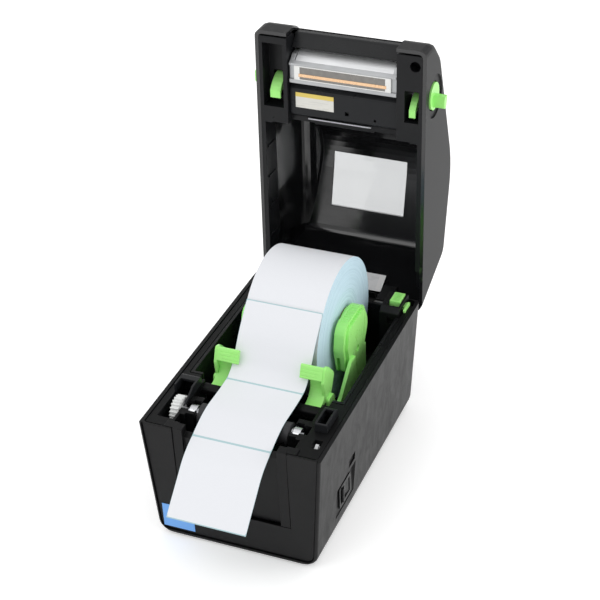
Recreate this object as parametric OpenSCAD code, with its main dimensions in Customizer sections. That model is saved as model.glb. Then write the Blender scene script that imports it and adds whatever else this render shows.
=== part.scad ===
// Desktop thermal label printer, lid open, with a roll of labels threaded to the front.
// Millimetres. X to the right, Y to the back, Z up. The origin is at the middle of the
// whole machine on the table. Inside the modules Y counts from the front edge of the rim
// and Z from the lower edge of the case; place() shifts both to the origin.

/* [Case] */
// Width of the case across its rim
body_w = 115; // [113:0.5:118]
// Width of the case at its lower edge
body_foot_w = 103.5; // [101:0.5:106]
// Depth of the case
body_d = 180; // [180:0.1:180.5]
// Height of the case from its lower edge to its rim
body_h = 82.5; // [82:0.1:82.6]
// Wall thickness of the case and the lid
wall = 2.4; // [2:0.1:2.6]
// How far the rubber feet stand below the case
foot_h = 2; // [1:0.1:3]

/* [Lid] */
// Angle from the closed lid to the lid leaning back on its stop
open_angle = 91.3; // [85:0.1:92]
// Height of the lid above its mating plane
lid_h = 61; // [60.5:0.5:63]
// Gap between the case rim and the closed lid
lid_gap = 0.5; // [0.4:0.1:0.8]
// Length of the window in the lid
window_l = 38; // [25:1:38]
// Width of the window in the lid
window_w = 52; // [40:1:60]

/* [Media] */
// Width of the label stock
label_w = 50; // [46:0.5:50.5]
// Radius of the full roll
roll_r = 45.8; // [30:0.1:46]
// Inner radius of the cardboard core
core_r = 12.7; // [12.7:0.1:13]

/* [Platen] */
// Radius of the platen rubber
platen_r = 7.2; // [6.5:0.1:7.2]
// Gear module of the platen drive
gear_mod = 0.75; // [0.75:0.01:0.76]

/* [Travel] */
// How far each media holder slides outwards
holder_travel = 5.5; // [4:0.1:5.5]

/* [Hidden] */
$fn = 64;
big = 200;             // longer than anything that it cuts

frame_y = 106;         // from the rim's front edge to the middle of the whole machine
front_rake = 3.3;      // how far the foot of the front face is set back
foot_round = 7;        // rounding of the long lower edges
rim_z = body_h;
mate_z = rim_z + lid_gap;
hinge_y = body_d - 2.1;
hinge_z = rim_z - 8.4;
knuckle_r = 4.3;
pin_r = 2;
arm_x = [27, 36];      // the lid's hinge arms, on both sides

lid_w = 112.6;
platen_y = 27;
platen_z = 76.3;
roll_y = 124.3;
roll_z = 88.4;
shaft_r = 3;
run = 0.05;            // radial running clearance

platen_teeth = 23;
idler_teeth = 34;
motor_teeth = 14;
mesh_gap = 0.06;       // added to each gear centre distance
idler_dir = -80;       // direction from the platen gear to the idler
motor_dir = -70;       // direction from the idler to the motor pinion
gear_x = [-46.2, -41];
platen_pitch = platen_teeth * gear_mod / 2;
idler_pitch = idler_teeth * gear_mod / 2;
motor_pitch = motor_teeth * gear_mod / 2;
idler_c = [platen_y, platen_z]
    + (platen_pitch + idler_pitch + mesh_gap) * [cos(idler_dir), sin(idler_dir)];
motor_c = idler_c + (idler_pitch + motor_pitch + mesh_gap) * [cos(motor_dir), sin(motor_dir)];

rack_mod = 0.75;
sync_teeth = 16;
sync_pitch = sync_teeth * rack_mod / 2;
rack_z = [38.4, 41.4];
tray_floor = 38;
holder_x = 26;         // inner face of the media holders

latch_y = 36;          // latch shaft, with the lid closed
latch_z = 101;
slope = 19.3;          // slope of the lid's long upper face
slope_y = 14;          // a point on that face
slope_z = 113.5;

// ---------------------------------------------------------------- helpers

// Shifts a part from the case's own measures to the common origin.
module place() translate([0, -frame_y, foot_h]) children();

// Turns a part drawn for the closed lid to where it is with the lid open.
module open_lid() place() translate([0, hinge_y, hinge_z]) rotate([-open_angle, 0, 0])
    translate([0, -hinge_y, -hinge_z]) children();

module both_sides() {
    children();
    mirror([1, 0, 0]) children();
}

module box(x, y, z) translate([x[0], y[0], z[0]]) cube([x[1] - x[0], y[1] - y[0], z[1] - z[0]]);

// Outlines in (y, z), (x, z) and (x, y), drawn out between two places on the third axis.
module along_x(x, outline) translate([x[0], 0, 0]) rotate([90, 0, 90])
    linear_extrude(x[1] - x[0]) polygon(outline);
module along_y(y, outline) translate([0, y[1], 0]) rotate([90, 0, 0])
    linear_extrude(y[1] - y[0]) polygon(outline);
module along_z(z, outline) translate([0, 0, z[0]]) linear_extrude(z[1] - z[0]) polygon(outline);

module rod_x(x, y, z, r) translate([x[0], y, z]) rotate([0, 90, 0]) cylinder(r = r, h = x[1] - x[0]);
module rod_y(y, x, z, r) translate([x, y[1], z]) rotate([90, 0, 0]) cylinder(r = r, h = y[1] - y[0]);

function unit(v) = v / norm(v);

// An outline whose corners [a, b, radius] are rounded by arcs.
function rounded(corners, steps = 6) = let (n = len(corners)) [
    for (i = [0 : n - 1]) let (
        c = [corners[i][0], corners[i][1]],
        p = [corners[(i + n - 1) % n][0], corners[(i + n - 1) % n][1]],
        q = [corners[(i + 1) % n][0], corners[(i + 1) % n][1]],
        r = corners[i][2],
        u = unit(p - c),
        v = unit(q - c),
        half = acos(u * v) / 2,
        m = c + unit(u + v) * r / sin(half),
        start = c + u * r / tan(half) - m,
        end = c + v * r / tan(half) - m,
        a = atan2(start[1], start[0]),
        turn = atan2(start[0] * end[1] - start[1] * end[0], start * end)
    ) for (k = [0 : r > 0 ? steps : 0])
        r > 0 ? m + r * [cos(a + turn * k / steps), sin(a + turn * k / steps)] : c
];

function rect(x, y, r = 0) = rounded([[x[0], y[0], r], [x[1], y[0], r], [x[1], y[1], r], [x[0], y[1], r]]);

// Points of a smooth curve through the given points, with ghost points at both ends.
function spline(p, steps = 6) = let (n = len(p)) concat([
    for (i = [1 : n - 3], k = [0 : steps - 1]) let (t = k / steps)
        0.5 * (2 * p[i] + t * (p[i + 1] - p[i - 1])
        + t * t * (2 * p[i - 1] - 5 * p[i] + 4 * p[i + 1] - p[i + 2])
        + t * t * t * (3 * p[i] - p[i - 1] - 3 * p[i + 1] + p[i + 2]))
], [p[n - 2]]);

// The outline of a strip of thickness t that follows a path.
function strip(p, t) = let (
    n = len(p),
    side = [for (i = [0 : n - 1]) let (
        d = unit(p[min(i + 1, n - 1)] - p[max(i - 1, 0)])) [-d[1], d[0]] * t / 2]
) concat([for (i = [0 : n - 1]) p[i] + side[i]], [for (i = [n - 1 : -1 : 0]) p[i] - side[i]]);

// Involute spur gear with stub teeth. Tooth number 0 points along the first axis.
tooth_high = 0.8;      // addendum, in modules
tooth_low = 1.0;       // dedendum, in modules
pressure = 20;
backlash = 0.12;       // thinning of each tooth, in millimetres
function inv(a) = tan(a) * 180 / PI - a;
function flank(r, rb, thick) = let (a = acos(min(1, rb / r))) thick - inv(a);
module gear2d(teeth, m) {
    rp = teeth * m / 2;
    rb = rp * cos(pressure);
    ra = rp + tooth_high * m;
    rr = rp - tooth_low * m;
    r0 = max(rb, rr);
    thick = 90 / teeth - backlash / 2 / rp * 180 / PI + inv(pressure);
    radii = [for (k = [0 : 4]) r0 + (ra - r0) * k / 4];
    polygon([for (t = [0 : teeth - 1]) let (mid = 360 / teeth * t) each concat(
        [rr * [cos(mid - flank(r0, rb, thick)), sin(mid - flank(r0, rb, thick))]],
        [for (r = radii) r * [cos(mid - flank(r, rb, thick)), sin(mid - flank(r, rb, thick))]],
        [for (k = [4 : -1 : 0]) radii[k] * [cos(mid + flank(radii[k], rb, thick)),
            sin(mid + flank(radii[k], rb, thick))]],
        [rr * [cos(mid + flank(r0, rb, thick)), sin(mid + flank(r0, rb, thick))]])]);
}

// A gear that turns about X, with its first tooth turned by phase in the (y, z) plane.
module gear_x(x, c, teeth, phase) translate([x[0], c[0], c[1]]) rotate([90, 0, 90])
    rotate(phase) linear_extrude(x[1] - x[0]) gear2d(teeth, gear_mod);

// ---------------------------------------------------------------- case

function half_w(z) = (body_foot_w + (body_w - body_foot_w) * z / body_h) / 2;
function front_y(z) = front_rake * (1 - z / body_h);

// The front face between the side walls, a little behind their edges.
function face_y(z) = front_rake + 1.1 - (z + 5) * (front_rake + 0.2) / (body_h + 10);

// The solid block of the case, its faces moved in by inset and its lower edges rounded.
module case_block(inset, top, bottom) hull() {
    for (k = [0 : 4]) let (
        a = 90 * k / 4,
        r = foot_round - inset,
        z = bottom + r * (1 - sin(a)),
        pull = r * (1 - cos(a))
    ) translate([0, 0, z]) linear_extrude(0.01) polygon(rounded([
        [-half_w(z) + inset + pull, front_y(z) + inset, 2],
        [half_w(z) - inset - pull, front_y(z) + inset, 2],
        [half_w(z) - inset - pull, body_d - inset, 5 - inset],
        [-half_w(z) + inset + pull, body_d - inset, 5 - inset]]));
    translate([0, 0, top - 0.01]) linear_extrude(0.01) polygon(rounded([
        [-half_w(top) + inset, front_y(top) + inset, 2], [half_w(top) - inset, front_y(top) + inset, 2],
        [half_w(top) - inset, body_d - inset, 5 - inset],
        [-half_w(top) + inset, body_d - inset, 5 - inset]]));
}

screw_y = [40, 140];
panel_x = 36.4;        // half width of the opening behind the front panel
panel_z = 25.5;        // its lower edge
switch_y = [39.5, 58.8];
switch_z = [16, 31.6];
dc_x = -30;
usb_x = -6;
net_x = 20;
socket_z = 14;         // height of the sockets' centres

// Knuckles that hold the hinge pins, on both sides of each lid arm.
module knuckles() both_sides()
for (x = [[arm_x[0] - 6.4, arm_x[0] - 0.4], [arm_x[1] + 0.4, arm_x[1] + 6.4]]) {
    rod_x(x, hinge_y, hinge_z, knuckle_r);
    along_x(x, [[hinge_y - knuckle_r, hinge_z], [body_d - 1, hinge_z], [body_d - 1, hinge_z - 14],
        [body_d - wall, hinge_z - 14]]);
}

module base_shell() color("#2b2b2d") place() difference() {
    union() {
        difference() {
            case_block(0, body_h, 0);
            case_block(wall, body_h + 1, wall);
            // The lid's rear wall passes behind this step.
            box([-big, big], [body_d - 1.6, body_d + 1], [rim_z - 3.2, rim_z + 1]);
        }
        knuckles();
        // Cross bars that the bottom plate is screwed to.
        for (y = screw_y) box([-50, 50], [y - 3.5, y + 3.5], [2.9, 7.4]);
    }
    screw_places() cylinder(r = 1.62, h = 30, center = true);
    both_sides() rod_x([arm_x[0] - 7, arm_x[1] + 7], hinge_y, hinge_z, pin_r + run);
    // Notches for the lid's arms.
    both_sides() box([arm_x[0] - 0.4, arm_x[1] + 0.4], [hinge_y - 6, body_d + 5],
        [hinge_z - 4.9, rim_z + 1]);
    // Opening for the front panel.
    box([-panel_x, panel_x], [-5, 9], [panel_z, rim_z + 1]);
    // The front face lies a little behind the edges of the side walls.
    intersection() {
        along_x([-big, big], [[-5, -5], [face_y(-5), -5], [face_y(rim_z + 5), rim_z + 5], [-5, rim_z + 5]]);
        along_y([-9, 9], rounded([[-half_w(0) + 1.7, 1.6, 6], [half_w(0) - 1.7, 1.6, 6],
            [half_w(rim_z + 5) - 1.7, rim_z + 5, 0], [-half_w(rim_z + 5) + 1.7, rim_z + 5, 0]]));
    }
    // Grooves where the front meets the side walls.
    intersection() {
        along_x([-big, big], [[-5, -5], [face_y(-5) + 0.8, -5], [face_y(rim_z + 5) + 0.8, rim_z + 5],
            [-5, rim_z + 5]]);
        difference() {
            along_y([-9, 9], rounded([[-half_w(0) + 1.7, 1.6, 6], [half_w(0) - 1.7, 1.6, 6],
                [half_w(rim_z + 5) - 1.7, rim_z + 5, 0], [-half_w(rim_z + 5) + 1.7, rim_z + 5, 0]]));
            along_y([-10, 10], rounded([[-half_w(0) + 2.3, 2.2, 5.4], [half_w(0) - 2.3, 2.2, 5.4],
                [half_w(rim_z + 6) - 2.3, rim_z + 6, 0], [-half_w(rim_z + 6) + 2.3, rim_z + 6, 0]]));
        }
    }
    // Power switch, its finger recess and the small slot above it, in the right wall.
    box([45, 65], switch_y, switch_z);
    along_z([switch_z[0] - 3, switch_z[1] + 4], [[half_w(24) - 1.2, 34], [60, 30], [60, 68],
        [half_w(24) - 1.2, 64]]);
    box([half_w(38) - 1, 65], [53, 63], [38.5, 44.5]);
    // Sockets in the rear wall.
    rod_y([body_d - 6, body_d + 1], dc_x, socket_z, 5.2);
    box([usb_x - 6.3, usb_x + 6.3], [body_d - 6, body_d + 1], [socket_z - 5.8, socket_z + 5.8]);
    box([net_x - 8.3, net_x + 8.3], [body_d - 6, body_d + 1], [socket_z - 7, socket_z + 7]);
    // Opening under the machine for the bottom plate.
    along_z([-1, 12], rect([-43, 43], [10, 171], 4));
}

module bottom_plate() color("#242426") place() difference() {
    union() {
        along_z([0.4, 2.8], rect([-42.6, 42.6], [10.4, 170.6], 4));
        both_sides() for (y = [22, 158]) translate([34, y, 0.4]) cylinder(r = 8, h = 4);
    }
    both_sides() for (y = [22, 158]) translate([34, y, -1]) cylinder(r = 6.05, h = 3);
    for (x = [-20 : 8 : 20]) box([x - 1.5, x + 1.5], [60, 120], [0, 4]);
    screw_places() cylinder(r = 1.7, h = 9, center = true);
}

module screw_places() both_sides() for (y = screw_y) translate([34, y, 0]) children();

module rubber_feet() color("#1a1a1b") place() both_sides() for (y = [22, 158]) translate([34, y, -foot_h])
    rotate_extrude() polygon([[0, 0], [5.2, 0], [6, 0.8], [6, foot_h + 1.8], [0, foot_h + 1.8]]);

module case_screws() color("#8d8f92") place() screw_places() difference() {
    union() {
        translate([0, 0, -0.8]) cylinder(r = 3, h = 1.2);
        translate([0, 0, 0.3]) cylinder(r = 1.6, h = 7);
    }
    for (a = [0, 90]) rotate(a) translate([-1.8, -0.4, -1]) cube([3.6, 0.8, 0.8]);
}

panel_top = 82.8;

// The front panel hooks over the deck with two tabs and lies back from the front face.
module front_panel() color("#1f1f21") place() {
    difference() {
        union() {
            along_x([-panel_x + 0.4, panel_x - 0.4], [[front_y(26) + 3.2, 26], [front_y(26) + 5.6, 26],
                [7.6, 74], [7.6, 78.1], [3.6, 76.4]]);
            both_sides() along_x([panel_x - 6.4, panel_x - 0.4], [[front_y(26) + 1, 26],
                [front_y(26) + 5.6, 26], [7.6, 76], [7.6, panel_top], [1.6, panel_top]]);
            both_sides() box([panel_x - 2, panel_x + 5.4], [2.6, 8.4], [82.15, panel_top]);
        }
        // Finger notch at the lower edge.
        rod_y([0, 12], 0, 24, 9);
    }
}

module front_sticker() color("#6fa8ee") place() along_x([-48.6, -27.8], [
    [face_y(3.8) - 0.03, 3.8], [face_y(3.8) - 0.25, 3.8],
    [face_y(21.4) - 0.25, 21.4], [face_y(21.4) - 0.03, 21.4]]);

deck_z = [79.4, 82];
slot_y = [11, 48];     // opening for the gear and the left striker
bearing_x = [31, 35.5];
bearing_r = 5.5;

// Upper deck round the platen, with its side lips and the platen's two cradles.
module deck_frame() color("#303133") place() difference() {
    union() {
        difference() {
            along_z(deck_z, concat([[-54.6, 3.6], [54.6, 3.6], [54.6, 171.8], [50.9, 171.8], [50.9, 57],
                [-50.9, 57], [-50.9, 171.8], [-54.6, 171.8]]));
            box([-38.4, 38.4], [8.6, 58], [70, 90]);
            box([-panel_x, panel_x], [0, 9], [70, 90]);
        }
        both_sides() along_x(bearing_x - [0.6, -0.6], rounded([[17, 66, 3], [19, 78, 0], [19, 82, 0],
            [36, 82, 0], [36, 66, 3]]));
        both_sides() box([35.4, 38.5], [17.2, 36], [70, 82]);
        // Cross member under the web, in front of the guides.
        along_x([-38.5, 38.5], rounded([[47, 76, 0], [47, 79.5, 2], [53.2, 80.4, 1], [53.2, 76, 0]]));
        both_sides() box([38.4, 54.4], [8.6, 56.8], [76.5, 79.5]);
    }
    both_sides() rod_x(bearing_x, platen_y, platen_z, bearing_r);
    both_sides() box(bearing_x, [platen_y - bearing_r, platen_y + bearing_r], [platen_z, 90]);
    both_sides() rod_x([30, 40.6], platen_y, platen_z, 4);
    both_sides() box([30, 40.6], [platen_y - 4, platen_y + 4], [platen_z, 90]);
    // Clearance of the guides when they are slid outwards.
    box([-42.4, 42.4], [53.2, 58], [70, 90]);
    // Slot for the gear and the left latch.
    box([-50.3, -40.1], slot_y, [70, 90]);
    // Hole for the right latch, and the hole of the lid sensor.
    box([44.1, 49.9], [29.6, 44.4], [70, 90]);
    box([46.5, 51.5], [12.5, 20.7], [70, 90]);
}

// A frame that stands on the deck; the latch hook catches under its rear bar.
module striker(x, y, bar) difference() {
    along_x(x, rounded([[y[0], 82.05, 0], [y[0] + 0.6, 87.6, 1.2], [y[1] - 0.8, 87.6, 2],
        [y[1], 82.05, 0]]));
    box([x[0] + 1.2, x[1] - 1.2], [y[0] + 1.4, y[1] - bar], [80, 90]);
    box([x[0] + 1.2, x[1] - 1.2], [y[0] + 1.4, y[1] - 1.2], [80, 86]);
}

module right_striker() color("#333437") place() striker([43.2, 50.8], [28, 46.6], 3.4);

module left_striker() color("#333437") place() {
    difference() {
        striker([-50.8, -38.6], [10, 49.4], 6.2);
        box([-52, -40.6], [8, 36], [80, 90]);
        box([-45, -38], [8, 24], [80, 90]);
        along_x([-41, -38], [[20, 89], [20, 82.05], [24.5, 82.05], [36, 86.6], [38, 89]]);
    }
}

// Tub that holds the roll; its front wall slopes down under the roll.
module media_tray() color("#202123") place() union() {
    difference() {
        along_x([-50.5, 50.5], rounded([[58, 81.9, 0], [58, 70, 6], [82, 36, 14], [172.4, 36, 4],
            [172.4, 79.2, 0], [166, 79.2, 0], [166, 81.9, 0]]));
        along_x([-48.5, 48.5], rounded([[59.8, 90, 0], [59.8, 71, 6], [83, tray_floor, 14],
            [170.6, tray_floor, 4], [170.6, 90, 0]]));
        // The walls are lower at the back, and in front where the guides pass over.
        box([-52, 52], [155.6, 180], [79.1, 90]);
        box([-42.4, 42.4], [57, 60.5], [74.8, 90]);
    }
    // Stud of the sync pinion.
    translate([0, roll_y, tray_floor - 1]) cylinder(r = 2, h = 4.6);
}

module hinge_pins() color("#b9bcc0") place() both_sides()
    rod_x([arm_x[0] - 6.2, arm_x[1] + 6.2], hinge_y, hinge_z, pin_r);

// ---------------------------------------------------------------- platen and drive

module platen_shaft() color("#b9bcc0") place() rod_x([-47.4, 36.8], platen_y, platen_z, shaft_r);

module platen_rubber() color("#1d1d1f") place() difference() {
    rod_x([-29, 29], platen_y, platen_z, platen_r);
    rod_x([-30, 30], platen_y, platen_z, shaft_r);
}

module platen_gear() color("#f2f2ef") place() difference() {
    gear_x(gear_x, [platen_y, platen_z], platen_teeth, idler_dir);
    rod_x([-50, -30], platen_y, platen_z, shaft_r);
}

// A collar in its cradle, with a flange towards the rubber.
module bearing() difference() {
    union() {
        rod_x(bearing_x, platen_y, platen_z, bearing_r - 0.02);
        rod_x([30.2, 31.2], platen_y, platen_z, 3.95);
        rod_x([29.4, 30.35], platen_y, platen_z, 4.6);
    }
    rod_x([-50, 50], platen_y, platen_z, shaft_r + run);
}

module left_bearing() color("#c4c7ca") place() mirror([1, 0, 0]) bearing();
module right_bearing() color("#c4c7ca") place() bearing();

bracket_x = [-40.4, -39];

module gear_bracket() color("#a7aaae") place() difference() {
    union() {
        along_x(bracket_x, rounded([[12, 20, 4], [12, 66, 4], [16, 75.5, 2], [54, 75.5, 2], [56.5, 60, 4],
            [58, 20, 4]]));
        rod_x([gear_x[0] - 0.6, bracket_x[1]], idler_c[0], idler_c[1], 2);
    }
    rod_x([-45, -38], platen_y, platen_z, 6);
    rod_x([-45, -38], motor_c[0], motor_c[1], 7);
}

module idler_gear() color("#f2f2ef") place() difference() {
    // Its tooth gap faces the platen gear's tooth.
    gear_x(gear_x, idler_c, idler_teeth, idler_dir + 180 + 180 / idler_teeth);
    rod_x([-50, -30], idler_c[0], idler_c[1], 2 + run);
    rod_x([gear_x[0] - 1, gear_x[0] + 1.2], idler_c[0], idler_c[1], idler_pitch - 2.4);
}

motor_half = 17.5;
motor_x = [-38.8, -12];

module motor_body() color("#3a3b3d") place() difference() {
    union() {
        along_x(motor_x, rect([motor_c[0] - motor_half, motor_c[0] + motor_half],
            [motor_c[1] - motor_half, motor_c[1] + motor_half], 4));
        rod_x([-40.2, motor_x[0] + 1], motor_c[0], motor_c[1], 6.6);
    }
    rod_x([-41, -20], motor_c[0], motor_c[1], 2.5 + run);
    box([motor_x[0] + 6, motor_x[1] - 6], [motor_c[0] - 20, motor_c[0] - motor_half + 0.6],
        [motor_c[1] - 20, motor_c[1] + 20]);
}

// Rest position of the idler, counted from its mesh with the platen gear.
idler_rest = idler_dir + 180 + 180 / idler_teeth;
motor_rest = motor_dir + 180 + 180 / motor_teeth
    - (idler_rest - motor_dir) * idler_teeth / motor_teeth;

module motor_pinion() color("#d6b25a") place() union() {
    gear_x(gear_x, motor_c, motor_teeth, motor_rest);
    rod_x([gear_x[1] - 0.5, -21], motor_c[0], motor_c[1], 2.5);
}

// ---------------------------------------------------------------- electrics

board_x = [-41, 41];
board_y = [70, 172];
board_z = [8, 9.6];

module mainboard() color("#1f6b46") place() union() {
    difference() {
        box(board_x, board_y, board_z);
        standoff_places() cylinder(r = 1.6, h = 30);
    }
    box([-12, 4], [100, 116], [board_z[1], board_z[1] + 1.6]);
    box([14, 26], [96, 104], [board_z[1], board_z[1] + 1.2]);
    box([-34, -24], [86, 96], [board_z[1], board_z[1] + 6]);
    for (x = [18, 26, 34]) translate([x, 84, board_z[1]]) cylinder(r = 3.1, h = 11);
    box([-8, 12], [73, 78], [board_z[1], board_z[1] + 5]);
}

module standoff_places() for (x = [-37, 37], y = [75, 126]) translate([x, y, 0]) children();

module board_standoffs() color("#c9a24a") place() standoff_places() {
    translate([0, 0, 2.8]) cylinder(r = 2.6, h = board_z[0] - 2.8, $fn = 6);
    translate([0, 0, 7.9]) cylinder(r = 1.5, h = 2.4);
}

module dc_inlet() color("#171718") place() union() {
    difference() {
        union() {
            rod_y([body_d - 5, body_d - 0.4], dc_x, socket_z, 5);
            box([dc_x - 5.5, dc_x + 5.5], [163, body_d - 4.9], [board_z[1], socket_z + 5.5]);
        }
        rod_y([166, body_d + 1], dc_x, socket_z, 3.3);
    }
    rod_y([165.5, body_d - 2], dc_x, socket_z, 1);
}

module usb_socket() color("#c9ccd0") place() difference() {
    box([usb_x - 6, usb_x + 6], [162, body_d - 0.2], [board_z[1], socket_z + 5.5]);
    box([usb_x - 4.6, usb_x + 4.6], [166, body_d + 1], [socket_z - 2.6, socket_z + 4.2]);
}

module network_socket() color("#b8bbbf") place() difference() {
    box([net_x - 8, net_x + 8], [157, body_d - 0.2], [board_z[1], socket_z + 6.7]);
    box([net_x - 6.2, net_x + 6.2], [166, body_d + 1], [socket_z - 3, socket_z + 5.2]);
}

rocker_c = [(switch_y[0] + switch_y[1]) / 2, (switch_z[0] + switch_z[1]) / 2];
rocker_x = 53.2;       // outer face of the switch bezel
rocker_tilt = 7;
rocker_travel = 14;
rocker_axis_x = rocker_x - 7;

module switch_housing() color("#161617") place() difference() {
    union() {
        along_x([rocker_x - 1.6, rocker_x], rect(switch_y + [0.2, -0.2], switch_z + [0.2, -0.2], 1));
        box([rocker_x - 14, rocker_x - 1], switch_y + [1.2, -1.2], switch_z + [1.2, -1.2]);
    }
    box([rocker_x - 12.6, rocker_x + 1], switch_y + [2, -2], switch_z + [2.4, -2.4]);
    rod_z_pin();
}

module rod_z_pin() translate([rocker_axis_x, rocker_c[0], switch_z[0]]) cylinder(r = 1.3 + run,
    h = switch_z[1] - switch_z[0]);

// The rocker turns about an upright pin and rests on its rear half.
module power_rocker() color("#1b1b1c") place() translate([rocker_axis_x, rocker_c[0], 0])
    rotate(rocker_tilt) union() {
        along_z(switch_z + [2.7, -2.7], rounded([[-3.4, -3, 1], [1.5, -6.2, 1], [7.6, -6.5, 0.8],
            [6.2, 0, 9], [7.6, 6.5, 0.8], [1.5, 6.2, 1], [-3.4, 3, 1]]));
        translate([0, 0, switch_z[0] + 1.4]) cylinder(r = 1.3, h = switch_z[1] - switch_z[0] - 2.8);
    }

module head_open_sensor() color("#d8dadb") place() union() {
    box([46.9, 51.1], [12.9, 20.3], [70.5, 78.2]);
    along_x([48, 50], [[13.4, 78.1], [15, 78.1], [18.6, 80.6], [17.6, 81.4], [13.4, 79]]);
}

module media_sensor() color("#2a2b2e") place() difference() {
    box([-9, 9], [38.5, 46.5], [76.5, 80.6]);
    for (x = [-4, 4]) translate([x, 42.5, 79.4]) cylinder(r = 1.5, h = 3);
}

// ---------------------------------------------------------------- media holders

function rack_tooth(x) = let (a = rack_mod * tooth_high, b = rack_mod * tooth_low,
    w = rack_mod * PI / 4 - backlash / 2, s = tan(pressure))
    [[x - w - b * s, -b], [x - w + a * s, a], [x + w - a * s, a], [x + w + b * s, -b]];

// A rack along X from x0, with its teeth towards +Y; the pitch line is at y = 0.
module rack(x0, x1, first) linear_extrude(rack_z[1] - rack_z[0]) polygon(concat(
    [[x0, -4.5]], [[x0, -rack_mod * tooth_low]],
    [for (x = [first : rack_mod * PI : x1 - 1.5]) if (x > x0 + 1.5) each rack_tooth(x)],
    [[x1, -rack_mod * tooth_low], [x1, -4.5]]));

module sync_pinion() color("#f2f2ef") place() translate([0, roll_y, rack_z[0] + 0.1]) difference() {
    linear_extrude(rack_z[1] - rack_z[0] - 0.2) rotate(90) gear2d(sync_teeth, rack_mod);
    translate([0, 0, -1]) cylinder(r = 2 + run, h = 9);
}

holder_outline = [[104, 69, 4], [100, 88, 12], [103, 104, 9], [136, 104, 12], [142, 88, 12],
    [132, 69, 6]];
hub_r = core_r - 0.08;
rack_y = sync_pitch + mesh_gap;        // pitch line of each rack, from the pinion's axis

// Right-hand holder: hub, ribbed thumb block, and a stem down to the rack.
module holder() difference() {
    union() {
        along_x([holder_x + 1.4, 34], rounded(holder_outline));
        along_x([33.9, 36], rounded([[107, 71, 4], [103, 88, 10], [106, 101.5, 7.5], [133.5, 101.5, 10],
            [139, 88, 10], [130, 71, 5]]));
        rod_x([holder_x + 0.1, holder_x + 1.6], roll_y, roll_z, 15);
        rod_x([20.3, holder_x + 1], roll_y, roll_z, hub_r);
        box([30, 36], [roll_y - rack_y - 4, roll_y + rack_y + 4], [rack_z[0], 74]);
    }
    rod_x([19, holder_x - 1], roll_y, roll_z, hub_r - 2.4);
    // Grip ribs across the top.
    for (k = [0 : 10]) rod_x([holder_x + 3, 40], 107 + 2.7 * k, 104.2, 0.8);
    for (k = [0 : 10]) rod_x([33.8, 40], 107 + 2.7 * k, 101.7, 0.8);
    rod_x([34.8, 37], 120, 79, 2.2);
    // Slot up the front of the thumb block.
    box([28.8, 31], [98, 106.5], [68, 82]);
}

// The rack behind the sync pinion, on the right-hand holder.
module holder_rack() translate([0, roll_y + rack_y, rack_z[0]]) mirror([0, 1, 0])
    rack(-10, 31, -4.5 * rack_mod * PI);

module right_holder() color("#7ed957") place() union() {
    holder();
    holder_rack();
}

// Half a turn about the sync pinion carries the right-hand rack onto the left-hand one.
module left_holder() color("#7ed957") place() union() {
    mirror([1, 0, 0]) holder();
    translate([0, roll_y, 0]) rotate(180) translate([0, -roll_y, 0]) holder_rack();
}

guide_bend = 9.5;       // radius of the guide's curved front

// Front edge guide: a curved fence with a tab over the web, and an arm back to the holder.
module guide() union() {
    along_x([holder_x - 0.3, 35.8], concat([[65.5, 92]],
        [for (a = [0 : 9 : 90]) [56 + guide_bend * cos(a), 87 - guide_bend * sin(a)]],
        [[54, 77.2], [53.8, 75.4], [66, 75.4], [69, 80], [68.6, 92]]));
    difference() {
        along_x([20.2, 34.6], rounded([[61.9, 91.4, 0.8], [65.2, 99.6, 1], [67.4, 98.8, 1],
            [64.2, 90.6, 0.8]]));
        for (k = [0 : 2]) rod_x([19, 31 + k], 62.3 + 0.8 * k, 93 + 2 * k, 0.4);
    }
    along_x([34.2, 36.1], rounded([[62, 90, 1], [65.4, 99.6, 2], [70, 98, 4], [79, 88, 4], [72, 74, 2],
        [64, 75.4, 0]]));
    along_x([36, 38.3], rounded([[110, 80, 0], [103, 80, 3], [84, 64, 6], [76, 64, 3], [72, 78, 2],
        [64, 78, 2], [64, 70, 3], [78, 56, 6], [110, 63, 0]]));
}

module right_guide() color("#86df5f") place() guide();
module left_guide() color("#86df5f") place() mirror([1, 0, 0]) guide();

lock_x = [37.5, 50.3];

module lock_block() color("#29292b") place() difference() {
    union() {
        box([lock_x[0], lock_x[1] - 2.1], [156, 170.4], [62, 80]);
        along_x(lock_x, rounded([[156, 79.3, 0], [156, 84, 1.5], [159.5, 87.2, 1.5], [176.6, 87.2, 1],
            [176.6, 79.3, 0]]));
    }
    box(lock_x + [3.8, -1.4], [160.5, 175.6], [80.4, 90]);
    box([42.6, 47], [150, 158.2], [76.5, 80.5]);
    // Slot for the side lever's stem.
    box([48, 51], [162.4, 172.2], [81.9, 84.4]);
}

// Ribbed slide that locks the holders at a set width.
module lock_slider() color("#8ee56f") place() difference() {
    box([41.6, 48.6], [164.2, 175.2], [80.6, 88.2]);
    for (k = [0 : 5]) box([43, 47.2], [166 + 1.5 * k, 166.6 + 1.5 * k], [87.7, 89]);
}

module lock_lever() color("#8ee56f") place() union() {
    box([48.6, 52.9], [166, 171.6], [82.3, 84]);
    along_x([51.6, 52.9], rounded([[161.5, 82.3, 0.6], [161.5, 84.5, 0.8], [171.6, 85, 0.8],
        [171.6, 82.3, 0.6]]));
}

// ---------------------------------------------------------------- media

module label_roll() color("#e9f1f6") place() difference() {
    rod_x([-label_w / 2, label_w / 2], roll_y, roll_z, roll_r);
    rod_x([-label_w, label_w], roll_y, roll_z, core_r + 1.2);
}

module roll_core() color("#b79a72") place() difference() {
    rod_x([-label_w / 2, label_w / 2], roll_y, roll_z, core_r + 1.2);
    rod_x([-label_w, label_w], roll_y, roll_z, core_r);
}

web_t = 0.24;
leave = 136;           // where the web leaves the roll, as an angle in the (y, z) plane

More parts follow.
